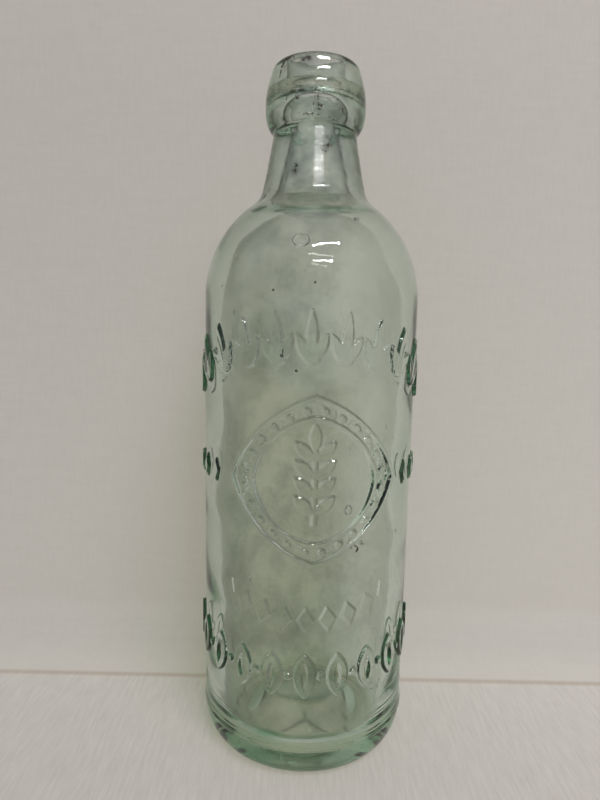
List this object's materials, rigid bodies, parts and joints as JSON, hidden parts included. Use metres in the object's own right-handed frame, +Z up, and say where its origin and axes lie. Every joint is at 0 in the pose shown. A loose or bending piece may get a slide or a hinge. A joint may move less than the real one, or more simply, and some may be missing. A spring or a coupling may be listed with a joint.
{
  "type": "marble stopper bottle",
  "caption": "Heavy moulded glass bottle for aerated drinks, with a loose glass marble in its lip that gas lifts against a rubber ring.",
  "frame": {"origin": "centre of the base, on the surface that the bottle stands on", "axes": "+Z up along the bottle's axis towards the mouth; -Y is the embossed front; +X is to the right of someone who looks at the front"},
  "size_m": [0.0682, 0.0668, 0.2086],
  "materials": {
    "bottle_glass": "thick pale aqua glass with a slight green tint, seeds and a dull old surface",
    "marble_glass": "plain pale aqua glass, lightly worn",
    "ring_rubber": "pale gum rubber, clouded and dull with age"
  },
  "bodies": {
    "bottle": {"bottle": "bottle_glass", "seal_ring": "ring_rubber"},
    "marble": {"marble": "marble_glass"}
  },
  "joints": [
    {"name": "marble_lift", "type": "slide", "parent": "bottle", "child": "marble", "axis": [0, 0, 1], "range_m": [0, 0.00325]}
  ]
}
